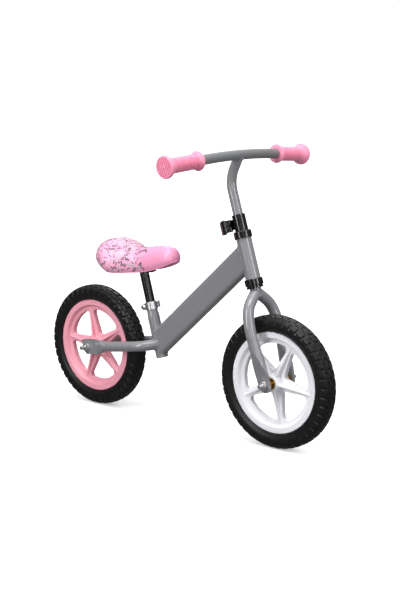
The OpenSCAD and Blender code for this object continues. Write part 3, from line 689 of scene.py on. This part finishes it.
def close_end(obj, ring):
    """Fills the last ring of points."""
    bm = bmesh.new()
    bm.from_mesh(obj.data)
    bm.verts.ensure_lookup_table()
    bm.faces.new([bm.verts[i] for i in ring])
    bmesh.ops.recalc_face_normals(bm, faces=bm.faces)
    bm.to_mesh(obj.data)
    bm.free()


def grip(name, node, side):
    """A ribbed grip with a flange at each end, on the right (-1) or left (1)."""
    axis = LEFT * side * math.cos(BAR_A) + BAR_DOWN * math.sin(BAR_A)
    origin = (BAR_CENTRE + BAR_DOWN * BAR_R * (1 - math.cos(BAR_A)) * MM
              + LEFT * side * BAR_R * math.sin(BAR_A) * MM + axis * GRIP_START * MM)
    a, x, y = frame_of(axis, BAR_DOWN)
    n = 120
    rings = grip_rings(origin, a, x, y, n)
    o = loft(name, rings, caps=False)
    close_end(o, [(len(rings) - 1) * n + j for j in range(n)])
    place(o, "handlebar", "grip_foam")
    # the second material, the darker pink, is painted shade for the recesses
    o.data.materials.append(grip_groove_painted_shade.mat)
    for f in o.data.polygons:
        q = f.center - origin
        z = q.dot(a) / MM
        w = (q - a * q.dot(a)).length / MM
        between_ribs = 11.5 < z < GRIP_L - 22 and w < 15.35
        in_face = GRIP_L - 0.8 < z < GRIP_L - 0.05 and FACE_FROM < w < FACE_TO
        if between_ribs or in_face:
            f.material_index = 1
    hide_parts(node)


grip("right_grip_ribbed", "right_grip", -1)
grip("left_grip_ribbed", "left_grip", 1)


# ------------------------------------------------------------------ saddle


def curve(pts, u):
    """Smooth curve through (u, value) points, without overshoot at its flat places."""
    n = len(pts)
    if u <= pts[0][0]:
        return pts[0][1]

    def rise(k):
        return (pts[k + 1][1] - pts[k][1]) / (pts[k + 1][0] - pts[k][0])

    def slope(k):
        if k == 0:
            return rise(0)
        if k == n - 1:
            return rise(n - 2)
        a, b = rise(k - 1), rise(k)
        return 0 if a * b <= 0 else 2 * a * b / (a + b)

    i = 0
    while u > pts[i + 1][0] and i < n - 2:
        i += 1
    h = pts[i + 1][0] - pts[i][0]
    t = (u - pts[i][0]) / h
    m0, m1 = slope(i) * h, slope(i + 1) * h
    return ((2 * t**3 - 3 * t**2 + 1) * pts[i][1] + (t**3 - 2 * t**2 + t) * m0
            + (-2 * t**3 + 3 * t**2) * pts[i + 1][1] + (t**3 - t**2) * m1)


SADDLE_X0, SADDLE_L = -252.0, 236.0
# half-width, crown height and rim height along the saddle, in mm, from rear (0) to nose (1)
HALF = [(0.0, 0.0), (0.012, 21), (0.04, 38), (0.09, 53), (0.16, 66), (0.26, 75), (0.34, 71), (0.43, 55),
        (0.52, 40), (0.62, 32), (0.76, 28.5), (0.90, 26), (0.955, 22.5), (0.985, 15), (1.0, 0.0)]
CROWN = [(0.0, 388), (0.02, 400), (0.06, 413), (0.12, 421.5), (0.18, 424.5), (0.27, 420), (0.38, 411),
         (0.48, 408.5), (0.60, 411.5), (0.74, 417), (0.85, 420.5), (0.92, 419), (0.965, 412), (0.99, 402),
         (1.0, 394)]
RIM = [(0.0, 380), (0.04, 373), (0.10, 364), (0.22, 352.5), (0.38, 350), (0.52, 352), (0.64, 356),
       (0.76, 363), (0.88, 373), (1.0, 387)]
# how far round the side the vinyl turns in under the saddle, degrees
TUCK = [(0.0, 62), (0.10, 60), (0.20, 52), (0.32, 36), (1.0, 34)]


def flatness(half):
    """Power of the section's sides: broad and flat where the saddle is wide, round at the nose."""
    return 0.92 - 0.16 * min(1.0, half / 75.0)


def along_saddle(steps):
    """Places from rear (0) to nose (1), closer together at both ends."""
    return [(1 - math.cos(math.pi * i / steps)) / 2 for i in range(steps + 1)]


def saddle_ring(u):
    """The closed section of the cushion at u, with the lip and the recess for the base."""
    half = max(0.6, curve(HALF, u))
    top, low = curve(CROWN, u), curve(RIM, u)
    x = SADDLE_X0 + SADDLE_L * u
    belly = low + 0.30 * (top - low)
    wide = min(1.0, half / 75.0)
    tuck = curve(TUCK, u)
    count = 44
    ring = []
    for k in range(count + 1):
        a = math.radians(-tuck + (180 + 2 * tuck) * k / count)
        c, s = math.cos(a), math.sin(a)
        y = half * math.copysign(abs(c) ** flatness(half), c)
        if s > 0:
            z = belly + (top - belly) * s ** (0.98 - 0.1 * wide)
        else:
            z = belly + (belly - low) * s / math.sin(math.radians(tuck))
        ring.append((x, y, z))
    y_rim = ring[-1][1]
    inner = min(-0.3, y_rim + 4.5)
    lip = y_rim + 1.5 if y_rim < -2 else y_rim
    ring += [(x, lip, low - 0.3), (x, inner, low), (x, inner * 0.97, low + 6.0), (x, 0, low + 6.5),
             (x, -inner * 0.97, low + 6.0), (x, -inner, low), (x, -lip, low - 0.3)]
    return [Vector(p) * MM for p in ring]


def build_saddle():
    """The padded cover as one lofted form, with one subdivision."""
    o = loft("saddle_cushion", [saddle_ring(u) for u in along_saddle(64)])
    sub = o.modifiers.new("subdivision", "SUBSURF")
    sub.levels = 1
    sub.render_levels = 1
    place(o, "saddle", "saddle_vinyl")
    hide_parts("saddle_cover")
    return o


def build_welt():
    """Welt where the vinyl is tucked under the saddle."""
    us = along_saddle(90)
    points = []
    for side in (-1, 1):
        for u in us if side < 0 else us[::-1]:
            half = curve(HALF, u)
            y = half * math.cos(math.radians(curve(TUCK, u))) ** flatness(half)
            points.append(Vector((SADDLE_X0 + SADDLE_L * u, side * max(0, y), curve(RIM, u) + 0.2)) * MM)
    place(bead("saddle_welt", resample(points, 0.003), 0.0011), "saddle", "saddle_vinyl")


saddle = build_saddle()
build_welt()

MARKS, MARK_TRIES = 300, 30000
MARK_GAP = 0.0090           # least distance between two marks' middles
MARK_LIFT = 0.00012         # height of the ink above the vinyl
DOT_R = 0.0011
STROKE_HALF_WIDTH = 0.00106


def print_stroke(rng, kind):
    """Points of one mark round its own middle: a wave (w), a bent dash (d) or a dot (o)."""
    if kind == "o":
        turns = (2 * math.pi * k / 12 for k in range(13))
        return [(DOT_R * math.cos(a), DOT_R * math.sin(a)) for a in turns], DOT_R
    length = rng.uniform(0.0105, 0.0150) if kind == "w" else rng.uniform(0.006, 0.010)
    swing = rng.uniform(0.0026, 0.0038) if kind == "w" else 0.0
    turns = rng.choice((1.5, 2.0, 2.5)) if kind == "w" else 1.0
    bend = rng.uniform(-0.0030, 0.0030) if kind == "d" else 0
    line = []
    for k in range(25):
        q = k / 24 - 0.5
        line.append((length * q, swing * math.sin(2 * math.pi * turns * q) + bend * (1 - 4 * q * q)))
    return line, STROKE_HALF_WIDTH


def add_ribbon(verts, faces, points, width):
    """A flat ribbon along (point, normal) pairs, width to each side."""
    base = len(verts)
    for i, (p, n) in enumerate(points):
        q0, q1 = points[max(i - 1, 0)][0], points[min(i + 1, len(points) - 1)][0]
        side = n.cross((q1 - q0).normalized())
        verts += [p + side * width, p - side * width]
    for i in range(len(points) - 1):
        k = base + 2 * i
        faces.append((k, k + 1, k + 3, k + 2))


def saddle_print():
    """A generic scatter of short waves, dashes and dots over the saddle's rear half."""
    rng = random.Random(7)
    surface = BVHTree.FromObject(saddle, bpy.context.evaluated_depsgraph_get())
    sets = {"dark": ([], []), "pale": ([], [])}
    taken = []
    centre = Vector((-0.175, 0, 0.375))
    tries = 0
    while len(taken) < MARKS and tries < MARK_TRIES:
        tries += 1
        yaw = rng.uniform(0, 2 * math.pi)
        pitch = math.asin(rng.uniform(-0.35, 1))
        d = Vector((math.cos(yaw) * math.cos(pitch), math.sin(yaw) * math.cos(pitch), math.sin(pitch)))
        hit, normal, _, _ = surface.ray_cast(centre + d * 0.3, -d)
        # the print ends in a ragged line ahead of the hump and stops short of the rim
        if hit is None or hit.x > -0.118 + 0.022 * rng.random() or hit.z < 0.3555:
            continue
        if any((hit - q).length < MARK_GAP for q in taken):
            continue
        taken.append(hit)
        kind = rng.choice("wwwdo")
        verts, faces = sets["dark" if rng.random() < 0.70 else "pale"]
        heading = Vector((rng.uniform(-1, 1), rng.uniform(-1, 1), rng.uniform(-1, 1)))
        along = normal.cross(heading).normalized()
        across = normal.cross(along)
        line, width = print_stroke(rng, kind)
        points = []
        for a, b in line:
            start = hit + along * a + across * b + normal * 0.01
            h, n, _, _ = surface.ray_cast(start, -normal, 0.03)
            points.append((h + n * MARK_LIFT, n) if h is not None else None)
        # a mark that runs over the edge is left out
        if None not in points:
            add_ribbon(verts, faces, points, width)
    for key, look in (("dark", ink), ("pale", ink_pale)):
        place(mesh_object("saddle_print_" + key, *sets[key]), "saddle", "saddle_vinyl", look)


saddle_print()


# ------------------------------------------------------------------ weld beads


def weld(name, body, starts, direction, targets, radius):
    """A weld bead where rays from a line round one tube meet another tube."""
    line = resample(hits(starts, direction, targets), 0.0016)
    place(bead(name, line, radius * MM, rough=0.35, seed=len(name)), body, "frame_paint")


def circle_points(centre, axis, ref, r):
    """72 points on a circle of radius r, in mm."""
    _, x, y = frame_of(axis, ref)
    turns = (2 * math.pi * k / 72 for k in range(72))
    return [centre + (x * math.cos(t) + y * math.sin(t)) * r * MM for t in turns]


DOWN_SLOPE = math.radians(41.7)
DOWN_DIR = Vector((math.cos(DOWN_SLOPE), 0, math.sin(DOWN_SLOPE)))
DOWN_NORMAL = Vector((-math.sin(DOWN_SLOPE), 0, math.cos(DOWN_SLOPE)))
DOWN_START = SEAT_FOOT + SEAT_UP * 35 * MM


def down_section(along):
    """The down tube's rounded outline, a distance along it in mm."""
    h, w, r = 58.6, 26.6, 10
    points = []
    for cx, cy, a0 in ((1, 1, 0), (-1, 1, 90), (-1, -1, 180), (1, -1, 270)):
        for k in range(19):
            t = math.radians(a0 + 5 * k)
            p = cx * (h / 2 - r) + r * math.cos(t)
            q = cy * (w / 2 - r) + r * math.sin(t)
            points.append(DOWN_START + DOWN_DIR * along * MM + DOWN_NORMAL * p * MM + LEFT * q * MM)
    return points


def stay_weld(word, side):
    """The bead where a rear stay's bent front end meets the frame."""
    slope, bend, radius = math.radians(8.8), math.radians(55), 45
    stay_dir = Vector((math.cos(slope), 0, math.sin(slope)))
    end = (Vector((REAR_X, 0, AXLE_Z)) + stay_dir * (162 + radius * math.sin(bend)) * MM
           + LEFT * side * (40 - radius * (1 - math.cos(bend))) * MM)
    d = stay_dir * math.cos(bend) - LEFT * side * math.sin(bend)
    starts = circle_points(end - d * 0.02, d, Vector((0, 0, 1)), 12.4)
    weld(f"weld_{word}_stay", "frame", starts, d, ["seat_tube", "down_tube"], 2.5)


weld("weld_down_tube_to_seat_tube", "frame", down_section(70), -DOWN_DIR, ["seat_tube"], 2.0)
weld("weld_down_tube_to_head_tube", "frame", down_section(200), DOWN_DIR, ["head_tube"], 2.0)
stay_weld("right", -1)
stay_weld("left", 1)
STEM_END = STEER_UP * math.cos(STEM_A) + STEER_FWD * math.sin(STEM_A)
weld("weld_stem_to_bar", "handlebar", circle_points(BAR_CENTRE - STEM_END * 0.03, STEM_END, LEFT, 11.0),
     STEM_END, ["handlebar_crossbar"], 1.7)


# ------------------------------------------------------------------ stage and light

FLOOR_HALF = 30


def build_floor():
    """A pale floor that brightens to white with distance, so no horizon shows."""
    corners = [(-FLOOR_HALF, -FLOOR_HALF, 0), (FLOOR_HALF, -FLOOR_HALF, 0),
               (FLOOR_HALF, FLOOR_HALF, 0), (-FLOOR_HALF, FLOOR_HALF, 0)]
    floor = mesh_object("floor", corners, [(0, 1, 2, 3)], smooth=False)
    m = Nodes("floor_look")
    b = m.bsdf.inputs
    m.link(m.ramp(m.noise(3, 3), [(0.3, (0.93, 0.93, 0.935)), (0.7, (0.95, 0.95, 0.95))]), b["Base Color"])
    b["Roughness"].default_value = 0.85
    b["Specular IOR Level"].default_value = 0.1
    b["Emission Color"].default_value = (1, 1, 1, 1)
    distance = m.add("ShaderNodeVectorMath", operation="LENGTH")
    m.link(m.pos, distance.inputs[0])
    m.link(m.span(distance.outputs["Value"], 0.36, 1.0, 0.7, 4.0), b["Emission Strength"])
    floor.data.materials.append(m.mat)
    floor.visible_diffuse = False
    floor.visible_glossy = False


def build_world():
    """White to the camera; to everything else a studio, dark at eye level and bright overhead."""
    world = bpy.data.worlds.new("studio")
    bpy.context.scene.world = world
    world.use_nodes = True
    tree_nodes = world.node_tree.nodes
    link = world.node_tree.links.new
    where = tree_nodes.new("ShaderNodeTexCoord")
    split = tree_nodes.new("ShaderNodeSeparateXYZ")
    up = tree_nodes.new("ShaderNodeMapRange")
    up.inputs["From Min"].default_value = -1
    up.inputs["From Max"].default_value = 1
    sky = tree_nodes.new("ShaderNodeValToRGB")
    stops = sky.color_ramp.elements
    stops[0].position, stops[0].color = 0.20, (0.24, 0.24, 0.24, 1)
    stops[1].position, stops[1].color = 1.0, (1.0, 1.0, 1.0, 1)
    for height, grey in ((0.42, 0.12), (0.50, 0.04), (0.58, 0.10), (0.80, 0.45)):
        stops.new(height).color = (grey, grey, grey, 1)
    studio = tree_nodes["Background"]
    studio.inputs["Strength"].default_value = 1.0
    white = tree_nodes.new("ShaderNodeBackground")
    white.inputs["Color"].default_value = (1, 1, 1, 1)
    white.inputs["Strength"].default_value = 1.05
    path = tree_nodes.new("ShaderNodeLightPath")
    mix = tree_nodes.new("ShaderNodeMixShader")
    link(where.outputs["Generated"], split.inputs["Vector"])
    link(split.outputs["Z"], up.inputs["Value"])
    link(up.outputs["Result"], sky.inputs["Fac"])
    link(sky.outputs["Color"], studio.inputs["Color"])
    link(path.outputs["Is Camera Ray"], mix.inputs["Fac"])
    link(studio.outputs["Background"], mix.inputs[1])
    link(white.outputs["Background"], mix.inputs[2])
    link(mix.outputs["Shader"], tree_nodes["World Output"].inputs["Surface"])


def softbox(name, azimuth, elevation, distance, width, height, power):
    """A rectangular lamp that faces the bike."""
    d = view_direction(azimuth, elevation)
    data = bpy.data.lights.new(name, "AREA")
    data.shape = "RECTANGLE"
    data.size, data.size_y = width, height
    data.energy = power
    o = bpy.data.objects.new(name, data)
    bpy.context.collection.objects.link(o)
    o.location = Vector((0.05, 0, 0.3)) + d * distance
    turn_to_face(o, d)


build_floor()
build_world()
softbox("overhead", 40, 74, 2.4, 1.8, 1.0, 36)
softbox("key", -8, 24, 2.6, 0.55, 2.0, 38)
softbox("fill", 88, 20, 2.6, 0.45, 1.9, 24)
softbox("front", 46, 9, 2.7, 0.5, 0.5, 6)
softbox("rim", 215, 35, 2.6, 1.4, 1.2, 12)

view = bpy.context.scene.view_settings
view.view_transform = "Standard"
view.look = "None"
view.exposure = 0
view.gamma = 1
